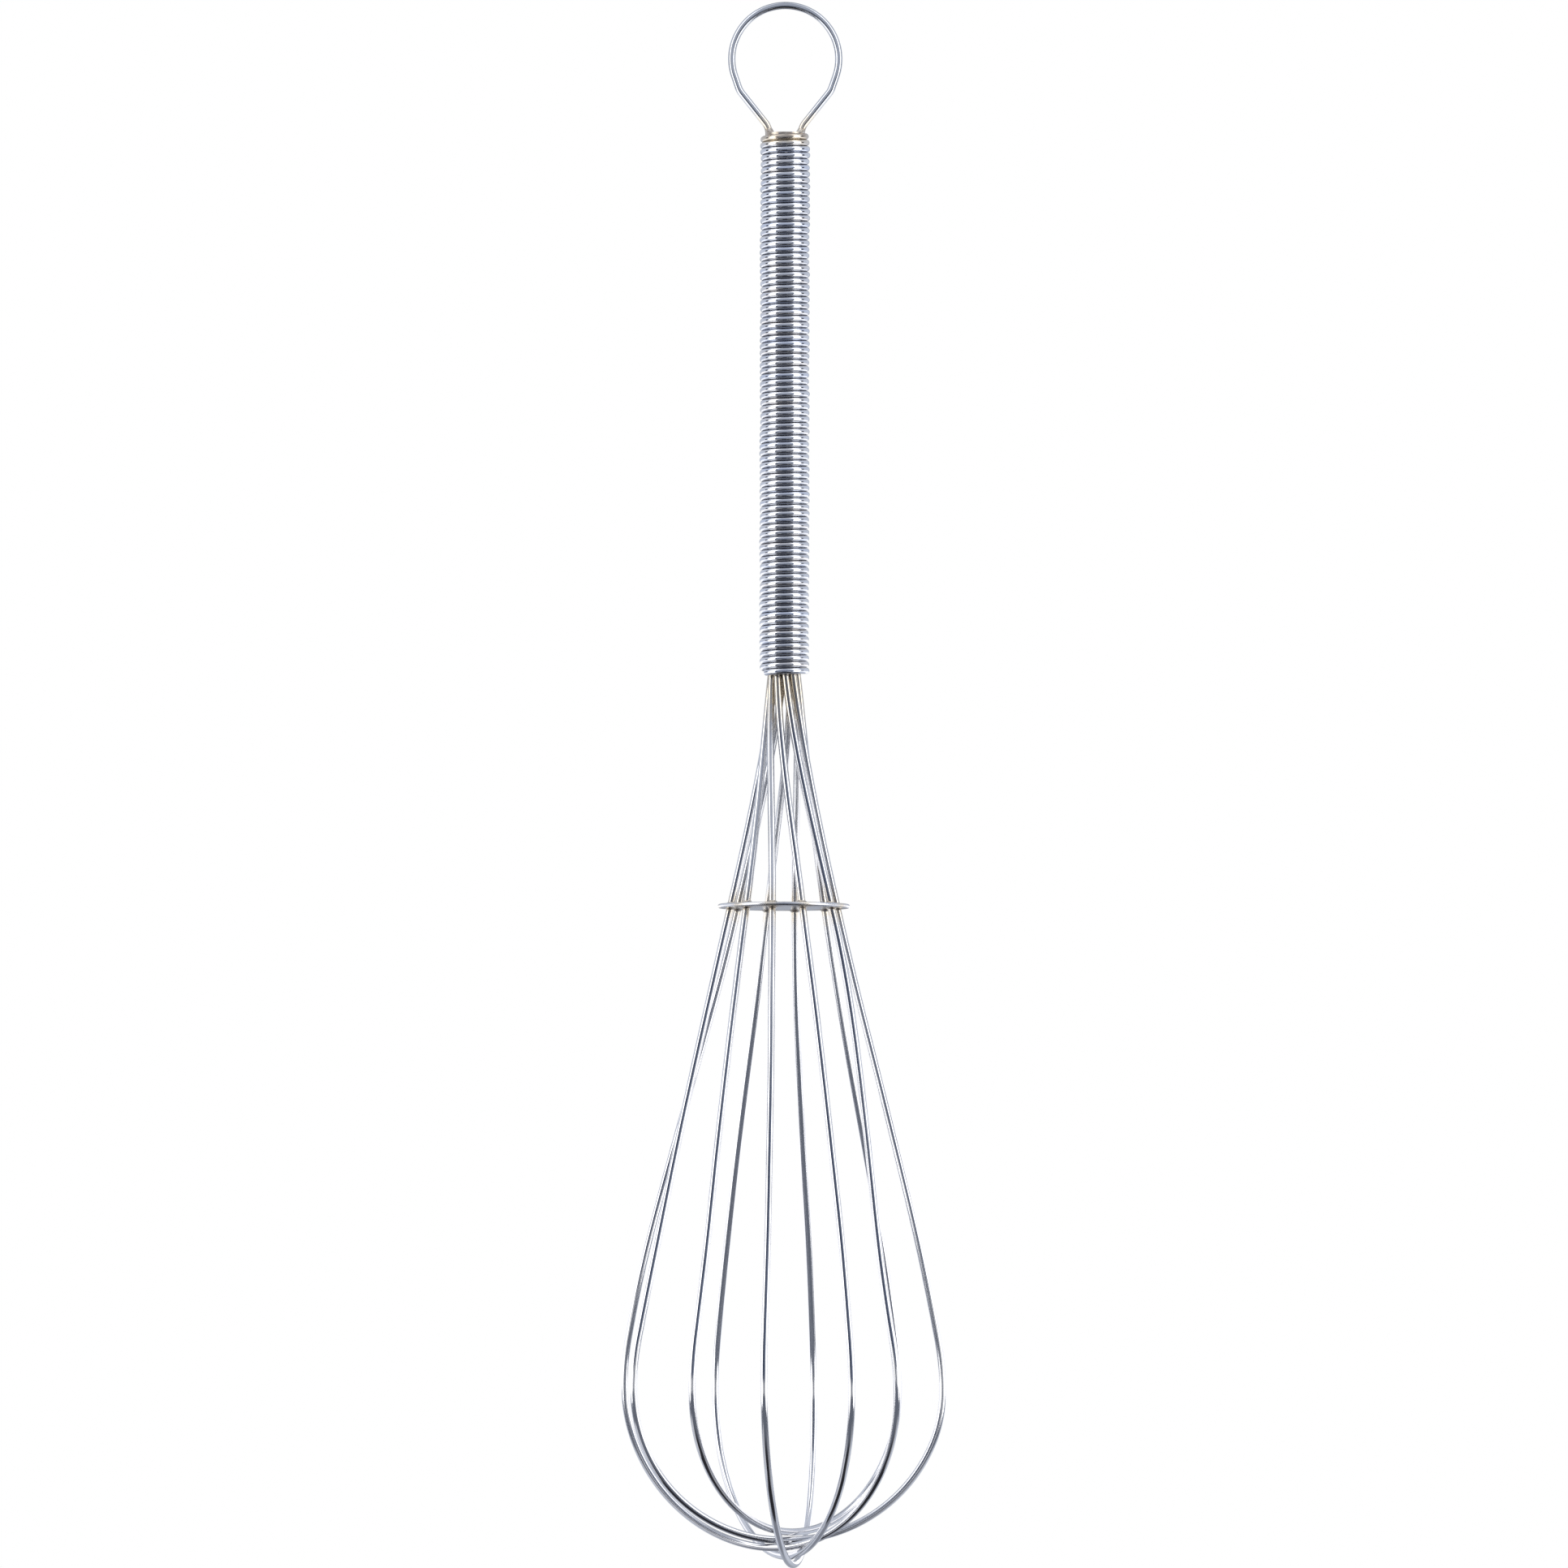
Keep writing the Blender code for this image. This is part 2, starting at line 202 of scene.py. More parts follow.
def hole_azimuth(index):
    side, number = divmod(index, len(WHISK_LOOPS))
    return math.radians(WHISK_LOOPS[number]["holes"][side])


def leg_points(index, shoulder, shoulder_azimuth):
    """One leg, from its end inside the handle to just above the shoulder point that it meets."""
    azimuth = hole_azimuth(index)
    bundle_azimuth = BUNDLE_START_AZIMUTH + index * 2 * math.pi / LEG_COUNT
    end = polar(BUNDLE_R, bundle_azimuth, Z_HANDLE_TOP - LEG_TOP_BELOW_HANDLE_TOP)
    mouth = polar(BUNDLE_R, bundle_azimuth, Z_MOUTH + CONE_START_ABOVE_MOUTH)
    hole = polar(HOLE_RING_R, azimuth, Z_DISC)
    through = travel(azimuth, SLOPE_AT_DISC)
    above = hole - through * STRAIGHT_AT_DISC
    below = hole + through * STRAIGHT_AT_DISC
    shoulder_slope = BELLY_R / SHOULDER_HEIGHT * math.tan(SHOULDER_ANGLE)
    at_shoulder = travel(shoulder_azimuth, (shoulder_slope, 0.0))
    at_mouth = travel(azimuth, SLOPE_AT_MOUTH)
    points = [end] + straight(end, mouth, segments=40)
    points += bend(mouth, at_mouth, above, through, segments=44)
    points += straight(above, below, segments=5)
    points += bend(below, through, shoulder, at_shoulder, segments=80)
    return points[:-1]


def tip_points(loop):
    """The bottom of a loop, from shoulder to shoulder across the tip."""
    first, second = (polar(BELLY_R, math.radians(azimuth)) for azimuth in loop["belly"])
    middle = (first + second) / 2
    half = (first - second) / 2
    crossing = Vector((*loop["crossing"], 0)) * MILLIMETRE
    depth = BELLY_ABOVE_TIP - WIRE_R - loop["height"] * MILLIMETRE
    points = []
    for i in range(-TIP_STEPS, TIP_STEPS + 1):
        share = 1.0 - abs(i) / TIP_STEPS  # 0 at a shoulder, 1 at the tip
        angle = -SHOULDER_ANGLE + share * (math.pi / 2 + SHOULDER_ANGLE)
        side = -1 if i > 0 else 1
        lowered = SHOULDER_HEIGHT if angle < 0 else depth
        point = half * side * math.cos(angle) + middle.lerp(crossing, smooth(share))
        point.z = Z_BELLY - lowered * math.sin(angle)
        points.append(point)
    return points


def whisk_wire_points(number):
    bottom = tip_points(WHISK_LOOPS[number])
    span = bottom[0] - bottom[-1]
    azimuth = math.atan2(span.x, -span.y)
    down = leg_points(number, bottom[0], azimuth)
    up = leg_points(number + len(WHISK_LOOPS), bottom[-1], azimuth + math.pi)
    return down + bottom + up[::-1]


def waved(points, seed):
    """Small handling bends in the free part of a wire, none in the handle, the disc or the tip."""
    start_below_disc, stop_above_tip, fade = 0.004, 0.012, 0.02
    result = []
    for point in points:
        below_disc = clamped((Z_DISC - start_below_disc - point.z) / fade)
        above_tip = clamped((point.z - Z_TIP - stop_above_tip) / fade)
        strength = HANDLING_BEND * smooth(below_disc) * smooth(above_tip)
        shift = noise.noise_vector(Vector((point.z * 38.0 + seed * 7.3, seed * 3.1, point.x * 9.0)))
        result.append(point + Vector((shift.x, shift.y, 0)) * strength)
    return result


def rounded(before, corner, after, radius, segments):
    """Points on the arc that rounds a corner, between its two ends."""
    inward = (before - corner).normalized()
    onward = (after - corner).normalized()
    turn = math.pi - inward.angle(onward)
    centre = corner + (inward + onward).normalized() * radius / math.cos(turn / 2)
    reach = radius * math.tan(turn / 2)
    start = corner + inward * reach - centre
    end = corner + onward * reach - centre
    spokes = (start.lerp(end, i / segments) for i in range(segments + 1))
    return [centre + spoke.normalized() * radius for spoke in spokes]


def hanging_loop_points():
    """The hanging loop, from the foot of its left leg round the ring to the foot of the right."""
    ring_end = Vector((LOOP_RING_R * math.cos(LOOP_RING_END), 0, Z_LOOP_CENTRE))
    ring_end.z -= LOOP_RING_R * math.sin(LOOP_RING_END)
    along_shoulder = Vector((-math.sin(LOOP_RING_END), 0, -math.cos(LOOP_RING_END)))
    shoulder = ring_end + along_shoulder * LOOP_SHOULDER_LENGTH
    mouth_drop = (shoulder.x - LOOP_LEG_X_AT_MOUTH) / math.tan(LOOP_LEG_LEAN)
    mouth = Vector((LOOP_LEG_X_AT_MOUTH, 0, shoulder.z - mouth_drop))
    spread_top = Vector((LOOP_LEG_X_AT_MOUTH, 0, Z_HANDLE_TOP - LOOP_LEG_SPREAD_START))
    shoulder_bend = rounded(ring_end, shoulder, mouth, LOOP_SHOULDER_BEND_R, segments=12)
    mouth_bend = rounded(shoulder, mouth, spread_top, LOOP_MOUTH_BEND_R, segments=14)
    right = straight(ring_end, shoulder_bend[0], segments=8) + shoulder_bend[1:]
    right += straight(right[-1], mouth_bend[0], segments=24) + mouth_bend[1:]
    right += straight(right[-1], spread_top, segments=2)
    spread = LOOP_LEG_SPREAD_END - LOOP_LEG_SPREAD_START
    spread_steps = 16
    for i in range(1, spread_steps + 1):
        share = i / spread_steps
        x = LOOP_LEG_X_AT_MOUTH + (LOOP_LEG_X_INSIDE - LOOP_LEG_X_AT_MOUTH) * smooth(share)
        right.append(Vector((x, 0, spread_top.z - spread * share)))
    foot = Vector((LOOP_LEG_X_INSIDE, 0, Z_HANDLE_TOP - LOOP_LEG_DEPTH))
    right += straight(right[-1], foot, segments=20)
    left = [Vector((-point.x, 0, point.z)) for point in right]
    sweep = math.pi + 2 * LOOP_RING_END
    ring = []
    for i in range(RING_STEPS + 1):
        angle = math.pi + LOOP_RING_END - sweep * i / RING_STEPS
        x = LOOP_RING_R * math.cos(angle)
        ring.append(Vector((x, 0, Z_LOOP_CENTRE + LOOP_RING_R * math.sin(angle))))
    return left[::-1] + ring + right


def coil_points():
    """The winding's helix. Its turns differ a little in size and height, as hand-fed wire does."""
    radius = (HANDLE_D - COIL_WIRE_D) / 2
    bottom = Z_MOUTH + COIL_WIRE_D / 2
    rise = Z_HANDLE_TOP - Z_MOUTH - COIL_WIRE_D
    uneven_top_turns = 14.0
    drawn_in_turns, drawing_in_turns = 1.3, 0.5
    steps = round(COIL_TURNS * STEPS_PER_TURN)
    points = []
    for i in range(steps + 1):
        turn = i / STEPS_PER_TURN
        azimuth = COIL_START_AZIMUTH + 2 * math.pi * turn
        near_top = smooth(max(0.0, 1.0 - (COIL_TURNS - turn) / uneven_top_turns))
        wander = noise.noise(Vector((turn * 0.83, 1.7, 0.0)))
        wander += 0.5 * noise.noise(Vector((turn * 2.3, 5.1, 0.0)))
        swell = (TURN_SWELL + TOP_TURNS_SWELL * near_top) * wander
        last_turn = smooth(clamped((turn - COIL_TURNS + drawn_in_turns) / drawing_in_turns))
        swell -= LAST_TURN_INSET * last_turn
        sway = HANDLE_SWAY * noise.noise(Vector((turn * 0.19, 4.4, 8.0)))
        lift = TURN_LIFT * noise.noise(Vector((turn * 1.1, 9.2, 3.0)))
        point = polar(radius + swell, azimuth, bottom + rise * i / steps + lift)
        points.append(point + Vector((sway, 0, 0)))
    return points


# Mesh makers


def new_piece(name, mesh, node):
    item = bpy.data.objects.new(name, mesh)
    bpy.context.scene.collection.objects.link(item)
    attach(item, BODY)
    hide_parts(node)
    return item


def sweep_frames(path):
    """Unit normals and binormals along a path, carried without twist."""
    tangents = np.gradient(path, axis=0)
    tangents /= np.linalg.norm(tangents, axis=1)[:, None]
    side = np.cross(tangents[0], (0.0, 0.0, 1.0))
    nearly_upright = 0.1
    if np.linalg.norm(side) < nearly_upright:
        side = np.cross(tangents[0], (1.0, 0.0, 0.0))
    normals = np.empty_like(path)
    for i, tangent in enumerate(tangents):
        side = side - tangent * np.dot(side, tangent)
        side /= np.linalg.norm(side)
        normals[i] = side
    return tangents, normals, np.cross(tangents, normals)


def tube_mesh(name, points, radius, sides, edge):
    """A round wire whose cut ends have a small broken edge.

    The point attribute grain holds, for each vertex, its place in the wire's own section and its
    distance along the wire, which the drawn-wire texture reads.
    """
    path = np.array([tuple(point) for point in points])
    tangents, normals, binormals = sweep_frames(path)
    steps = np.linalg.norm(np.diff(path, axis=0), axis=1)
    along = np.concatenate([[0.0], np.cumsum(steps)])
    first, last = path[:1], path[-1:]
    after_first, before_last = first + tangents[:1] * edge, last - tangents[-1:] * edge
    path = np.vstack([first, after_first, path[1:-1], before_last, last])
    radii = np.full(len(path), radius)
    radii[0] = radii[-1] = radius - edge
    first, last = along[:1], along[-1:]
    along = np.concatenate([first, first + edge, along[1:-1], last - edge, last])
    normals = np.vstack([normals[:1], normals, normals[-1:]])
    binormals = np.vstack([binormals[:1], binormals, binormals[-1:]])
    angles = np.arange(sides) * 2 * math.pi / sides
    section = np.stack([np.cos(angles), np.sin(angles)], axis=1)
    sideways = section[None, :, :1] * normals[:, None, :]
    upward = section[None, :, 1:] * binormals[:, None, :]
    rings = path[:, None, :] + radii[:, None, None] * (sideways + upward)
    count = len(path)
    row = np.arange(count - 1)[:, None] * sides
    near = np.arange(sides)[None, :]
    far = (near + 1) % sides
    quads = np.stack([row + near, row + far, row + sides + far, row + sides + near], axis=2)
    faces = quads.reshape(-1, 4).tolist()
    faces.append(list(range(sides))[::-1])
    faces.append([(count - 1) * sides + i for i in range(sides)])
    mesh = bpy.data.meshes.new(name)
    mesh.from_pydata(rings.reshape(-1, 3).tolist(), [], faces)
    mesh.shade_smooth()
    mesh.set_sharp_from_angle(angle=math.radians(35))
    across = np.broadcast_to(section * radius, (count, sides, 2))
    lengths = np.broadcast_to(along[:, None, None], (count, sides, 1))
    grain = np.concatenate([across, lengths], axis=2)
    attribute = mesh.attributes.new("grain", "FLOAT_VECTOR", "POINT")
    attribute.data.foreach_set("vector", grain.astype(np.float32).ravel())
    return mesh


def lathe_mesh(name, profile, segments, centre, warp=None):
    """A closed turned body from (radius, height) points that run from its top to its bottom.

    The first and last points lie on the axis. warp(point, azimuth) may move each point.
    """
    mesh = bpy.data.meshes.new(name)
    shape = bmesh.new()
    top = shape.verts.new(centre + Vector((0, 0, profile[0][1])))
    foot = shape.verts.new(centre + Vector((0, 0, profile[-1][1])))
    rings = []
    for radius, height in profile[1:-1]:
        ring = []
        for i in range(segments):
            azimuth = 2 * math.pi * i / segments
            point = polar(radius, azimuth, height)
            if warp:
                point = warp(point, azimuth)
            ring.append(shape.verts.new(centre + point))
        rings.append(ring)
    for i in range(segments):
        j = (i + 1) % segments
        shape.faces.new((top, rings[0][i], rings[0][j]))
        shape.faces.new((foot, rings[-1][j], rings[-1][i]))
        for upper, lower in zip(rings, rings[1:]):
            shape.faces.new((upper[i], lower[i], lower[j], upper[j]))
    bmesh.ops.recalc_face_normals(shape, faces=shape.faces[:])
    shape.to_mesh(mesh)
    shape.free()
    mesh.shade_smooth()
    mesh.set_sharp_from_angle(angle=math.radians(50))
    return mesh


# Material helpers


class Nodes:
    """A short way to write node trees: each call adds a node and gives its first output."""

    def __init__(self, tree):
        self.tree = tree

    def add(self, kind, **settings):
        node = self.tree.nodes.new(kind)
        for key, value in settings.items():
            setattr(node, key, value)
        return node

    def wire(self, source, target):
        if isinstance(source, bpy.types.NodeSocket):
            self.tree.links.new(source, target)
        else:
            target.default_value = source

    def math(self, operation, first, second=0.0, clamp=False):
        node = self.add("ShaderNodeMath", operation=operation, use_clamp=clamp)
        self.wire(first, node.inputs[0])
        self.wire(second, node.inputs[1])
        return node.outputs[0]

    def step(self, value, low, high):
        """0 below low, 1 above high and smooth between."""
        node = self.add("ShaderNodeMapRange", interpolation_type="SMOOTHSTEP")
        self.wire(value, node.inputs["Value"])
        node.inputs["From Min"].default_value = low
        node.inputs["From Max"].default_value = high
        return node.outputs["Result"]

    def span(self, value, low, high):
        """A factor from 0 to 1 stretched to run from low to high."""
        node = self.add("ShaderNodeMapRange")
        self.wire(value, node.inputs["Value"])
        node.inputs["To Min"].default_value = low
        node.inputs["To Max"].default_value = high
        return node.outputs["Result"]

    def mix(self, factor, first, second):
        node = self.add("ShaderNodeMix", data_type="RGBA")
        self.wire(factor, node.inputs["Factor"])
        self.wire(first, node.inputs[6])
        self.wire(second, node.inputs[7])
        return node.outputs[2]

    def scaled(self, vector, scale):
        node = self.add("ShaderNodeVectorMath", operation="MULTIPLY")
        self.wire(vector, node.inputs[0])
        node.inputs[1].default_value = scale
        return node.outputs[0]

    def noise(self, vector, scale, detail=2.0, roughness=0.5):
        node = self.add("ShaderNodeTexNoise")
        self.wire(vector, node.inputs["Vector"])
        node.inputs["Scale"].default_value = scale
        node.inputs["Detail"].default_value = detail
        node.inputs["Roughness"].default_value = roughness
        return node.outputs["Fac"]

    def bump(self, height, strength, distance):
        node = self.add("ShaderNodeBump")
        node.inputs["Strength"].default_value = strength
        node.inputs["Distance"].default_value = distance
        self.wire(height, node.inputs["Height"])
        return node.outputs["Normal"]


def rgb(red, green, blue):
    return (red, green, blue, 1.0)


STEEL = rgb(0.612, 0.616, 0.635)
STEEL_SHADE = rgb(0.54, 0.545, 0.565)
WINDING_STEEL = rgb(0.60, 0.615, 0.65)
WINDING_STEEL_SHADE = rgb(0.53, 0.545, 0.58)
STRAW = rgb(0.60, 0.545, 0.46)
BROWN = rgb(0.40, 0.34, 0.28)
OXIDE_BLUE = rgb(0.30, 0.33, 0.40)
LOOP_STEEL = rgb(0.485, 0.50, 0.53)
LOOP_STEEL_SHADE = rgb(0.415, 0.43, 0.46)
TURN_BLUE = rgb(0.54, 0.575, 0.66)
TURN_BROWN = rgb(0.61, 0.60, 0.60)
# Painted shade with some grime, for the faces where the handle's turns meet
GRIME_AND_PAINTED_SHADE = rgb(0.40, 0.405, 0.44)


def new_material(name):
    material = bpy.data.materials.new(name)
    material.use_nodes = True
    tree = material.node_tree
    shader = tree.nodes["Principled BSDF"]
    shader.inputs["Metallic"].default_value = 1.0
    return material, Nodes(tree), shader


def heat_tint(nodes, steel, mask, place):
    """Steel that turns straw and then brown as the heat mask rises."""
    blotch = nodes.noise(place, 900.0, 3.0)
    heat = nodes.math("MULTIPLY", mask, nodes.span(blotch, 0.35, 1.45), clamp=True)
    warm = nodes.mix(nodes.step(heat, 0.12, 0.55), steel, STRAW)
    return nodes.mix(nodes.step(heat, 0.5, 1.0), warm, BROWN), heat


def drawn_wire_material(name, heats, steels=(STEEL, STEEL_SHADE), wound=False):
    """Bright drawn wire: fine die lines along its length, faint smears, and heat tint by height.

    heats lists (height, reach, strength) for each joint whose heat coloured the wire. Wound wire
    also carries painted shade, with some grime, on the faces of its turns that face up and down,
    where the turns meet, and each turn is tinted a little differently.
    """
    material, nodes, shader = new_material(name)
    grain = nodes.add("ShaderNodeAttribute", attribute_name="grain").outputs["Vector"]
    place = nodes.add("ShaderNodeTexCoord").outputs["Object"]
    height = nodes.add("ShaderNodeSeparateXYZ")
    nodes.wire(place, height.inputs[0])
    lines = nodes.noise(nodes.scaled(grain, (5000.0, 5000.0, 160.0)), 1.0, 3.0, 0.6)
    smears = nodes.noise(place, 130.0, 3.0)
    pits = nodes.noise(place, 3000.0, 2.0)
    mask = 0.0
    for level, reach, strength in heats:
        distance = nodes.math("ABSOLUTE", nodes.math("SUBTRACT", height.outputs["Z"], level))
        near = nodes.math("SUBTRACT", 1.0, nodes.math("DIVIDE", distance, reach), clamp=True)
        mask = nodes.math("MAXIMUM", mask, nodes.math("MULTIPLY", near, strength))
    base = nodes.mix(nodes.step(smears, 0.35, 0.7), *steels)
    grime_and_painted_shade = 0.0
    if wound:
        turn = nodes.noise(nodes.scaled(place, (40.0, 40.0, 900.0)), 1.0, 1.0)
        base = nodes.mix(nodes.step(turn, 0.55, 0.68), base, TURN_BLUE)
        base = nodes.mix(nodes.step(turn, 0.45, 0.34), base, TURN_BROWN)
        # Painted shade with some grime: the faces of each turn that look up or down, towards its
        # neighbours, are darkened
        facing = nodes.add("ShaderNodeSeparateXYZ")
        nodes.wire(nodes.add("ShaderNodeTexCoord").outputs["Normal"], facing.inputs[0])
        grime_and_painted_shade = nodes.step(nodes.math("ABSOLUTE", facing.outputs["Z"]), 0.80, 0.97)
        base = nodes.mix(grime_and_painted_shade, base, GRIME_AND_PAINTED_SHADE)
    colour, heat = heat_tint(nodes, base, mask, place)
    nodes.wire(colour, shader.inputs["Base Color"])
    gloss = nodes.math("ADD", nodes.span(lines, 0.06, 0.15), nodes.span(smears, -0.03, 0.05))
    gloss = nodes.math("ADD", gloss, nodes.math("MULTIPLY", heat, 0.12))
    gloss = nodes.math("ADD", gloss, nodes.math("MULTIPLY", grime_and_painted_shade, 0.2))
    nodes.wire(gloss, shader.inputs["Roughness"])
    relief = nodes.math("ADD", lines, nodes.math("MULTIPLY", pits, 0.15))
    nodes.wire(nodes.bump(relief, 0.07, 0.000008), shader.inputs["Normal"])
    return material


def sheet_material(name):
    """The stamped disc: tumbled sheet steel, finely scratched, with heat stains round its holes."""
    material, nodes, shader = new_material(name)
    place = nodes.add("ShaderNodeTexCoord").outputs["Object"]
    stain = nodes.add("ShaderNodeAttribute", attribute_name="stain").outputs["Fac"]
    tumble = nodes.noise(place, 2600.0, 4.0, 0.65)
    scratch = nodes.noise(nodes.scaled(place, (9000.0, 500.0, 500.0)), 1.0, 2.0)
    cross = nodes.noise(nodes.scaled(place, (600.0, 8000.0, 500.0)), 1.0, 2.0)
    marks = nodes.math("MAXIMUM", nodes.step(scratch, 0.62, 0.72), nodes.step(cross, 0.64, 0.74))
    base = nodes.mix(nodes.step(tumble, 0.3, 0.75), STEEL, STEEL_SHADE)
    colour, heat = heat_tint(nodes, base, stain, place)
    nodes.wire(colour, shader.inputs["Base Color"])
    gloss = nodes.math("ADD", nodes.span(tumble, 0.14, 0.26), nodes.math("MULTIPLY", marks, 0.08))
    gloss = nodes.math("ADD", gloss, nodes.math("MULTIPLY", heat, 0.15))
    nodes.wire(gloss, shader.inputs["Roughness"])
    relief = nodes.math("SUBTRACT", tumble, nodes.math("MULTIPLY", marks, 0.5))
    nodes.wire(nodes.bump(relief, 0.3, 0.00002), shader.inputs["Normal"])
    return material


def braze_material(name):
    """Braze metal: straw to brown, with oxide blue in places, and a lightly rippled skin."""
    material, nodes, shader = new_material(name)
    place = nodes.add("ShaderNodeTexCoord").outputs["Object"]
    patches = nodes.noise(place, 700.0, 3.0)
    fine = nodes.noise(place, 4200.0, 3.0)
    warm = nodes.mix(nodes.step(patches, 0.38, 0.66), STRAW, BROWN)
    colour = nodes.mix(nodes.step(nodes.noise(place, 1100.0), 0.58, 0.72), warm, OXIDE_BLUE)
    nodes.wire(colour, shader.inputs["Base Color"])
    nodes.wire(nodes.span(fine, 0.2, 0.42), shader.inputs["Roughness"])
    nodes.wire(nodes.bump(nodes.math("ADD", patches, fine), 0.35, 0.00004), shader.inputs["Normal"])
    return material


# Pieces

# Heat tints, each as (height of the joint, reach along the wire, strength)
HANDLE_TOP_HEAT = (Z_HANDLE_TOP, 0.0060, 0.9)
WINDING_HEAT = (Z_HANDLE_TOP, 0.0034, 1.1)
MOUTH_HEAT = (Z_MOUTH, 0.0160, 0.7)
DISC_HEAT = (Z_DISC, 0.0070, 0.55)


def make_winding():
    radius = COIL_WIRE_D / 2 - COIL_WIRE_SLACK
    mesh = tube_mesh("handle_winding", coil_points(), radius, COIL_WIRE_SIDES, COIL_CUT_EDGE)
    new_piece("handle_winding", mesh, "coil_handle")
    steels = (WINDING_STEEL, WINDING_STEEL_SHADE)
    material = drawn_wire_material("winding_wire_steel", [WINDING_HEAT], steels, wound=True)
    mesh.materials.append(material)


def make_whisk_wires():
    steel = drawn_wire_material("whisk_wire_steel", [MOUTH_HEAT, DISC_HEAT])
    for number in range(len(WHISK_LOOPS)):
        name = f"whisk_loop_{number + 1}"
        points = waved(whisk_wire_points(number), number + 1)
        mesh = tube_mesh(name, points, WIRE_R, WIRE_SIDES, CUT_EDGE)
        mesh.materials.append(steel)
        new_piece(name, mesh, f"whisk_wire_{number + 1}")


def make_hanging_loop():
    mesh = tube_mesh("hanging_ring", hanging_loop_points(), WIRE_R, WIRE_SIDES, CUT_EDGE)
    steels = (LOOP_STEEL, LOOP_STEEL_SHADE)
    mesh.materials.append(drawn_wire_material("hanging_wire_steel", [HANDLE_TOP_HEAT], steels))
    new_piece("hanging_ring", mesh, "hanging_loop")


def disc_profile():
    """Half a section of the disc, from the axis on its top to the axis below, with a round rim."""
    half = DISC_T / 2
    flat_r = DISC_R - half
    rings = [0.0] + [flat_r * i / DISC_RINGS for i in range(1, DISC_RINGS + 1)]
    top = [(radius, half) for radius in rings]
    rim = []
    rim_steps = 8
    for i in range(1, rim_steps):
        angle = math.pi / 2 - math.pi * i / rim_steps
        rim.append((flat_r + half * math.cos(angle), half * math.sin(angle)))
    return top + rim + [(radius, -half) for radius in rings[::-1]]


def drill(item, centre, diameter, length):
    """Cuts an upright round hole and leaves the result in the mesh."""
    cutter_mesh = bpy.data.meshes.new("drill")
    shape = bmesh.new()
    radii = {"radius1": diameter / 2, "radius2": diameter / 2}
    bmesh.ops.create_cone(shape, cap_ends=True, segments=DRILL_SEGMENTS, depth=length, **radii)
    shape.to_mesh(cutter_mesh)
    shape.free()
    cutter = bpy.data.objects.new("drill", cutter_mesh)
    cutter.location = centre
    bpy.context.scene.collection.objects.link(cutter)
    boolean = item.modifiers.new("drill", "BOOLEAN")
    boolean.operation = "DIFFERENCE"
    boolean.solver = "EXACT"
    boolean.object = cutter
    bpy.context.view_layer.update()
    evaluated = item.evaluated_get(bpy.context.evaluated_depsgraph_get())
    drilled = bpy.data.meshes.new_from_object(evaluated)
    item.modifiers.clear()
    old = item.data
    item.data = drilled
    bpy.data.meshes.remove(old)
    bpy.data.objects.remove(cutter)
    bpy.data.meshes.remove(cutter_mesh)


def make_disc():
    centre = Vector((0, 0, Z_DISC))
    drill_length = 0.004
    stain_reach = 0.0016
    mesh = lathe_mesh("spreader_plate", disc_profile(), DISC_SEGMENTS, centre)
    piece = new_piece("spreader_plate", mesh, "spreader_disc")
    holes = [polar(HOLE_RING_R, hole_azimuth(index), Z_DISC) for index in range(LEG_COUNT)]
    for hole in holes:
        drill(piece, hole, HOLE_D, drill_length)
    mesh = piece.data
    mesh.name = "spreader_plate"
    mesh.shade_smooth()
    mesh.set_sharp_from_angle(angle=math.radians(40))
    stain = []
    for vertex in mesh.vertices:
        nearest = min((Vector((vertex.co.x, vertex.co.y)) - hole.xy).length for hole in holes)
        stain.append(math.exp(-(((nearest - HOLE_D / 2) / stain_reach) ** 2)))
    attribute = mesh.attributes.new("stain", "FLOAT", "POINT")
    attribute.data.foreach_set("value", np.array(stain, dtype=np.float32))
    mesh.materials.clear()
    mesh.materials.append(sheet_material("disc_sheet_steel"))


def bead_profile():
    """Half a section of one joint's braze: a hollow fillet on each face and the filled hole."""
    face = DISC_T / 2
    wetted_r = WIRE_R * 0.9  # just inside the wire's skin
    neck_r = HOLE_D / 2 - 0.00001  # just inside the hole
    upper = []
    steps = 10
    for i in range(steps + 1):
        turn = math.pi / 2 * i / steps
        radius = wetted_r + BRAZE_REACH * (1 - math.cos(turn))
        upper.append((radius, face + BRAZE_HEIGHT * (1 - math.sin(turn))))
    upper.append((upper[-1][0], face - BRAZE_SKIRT))
    upper.append((neck_r, face - BRAZE_SKIRT))
    lower = [(radius, -level) for radius, level in reversed(upper)]
    return [(0.0, face + BRAZE_HEIGHT)] + upper + lower + [(0.0, -face - BRAZE_HEIGHT)]


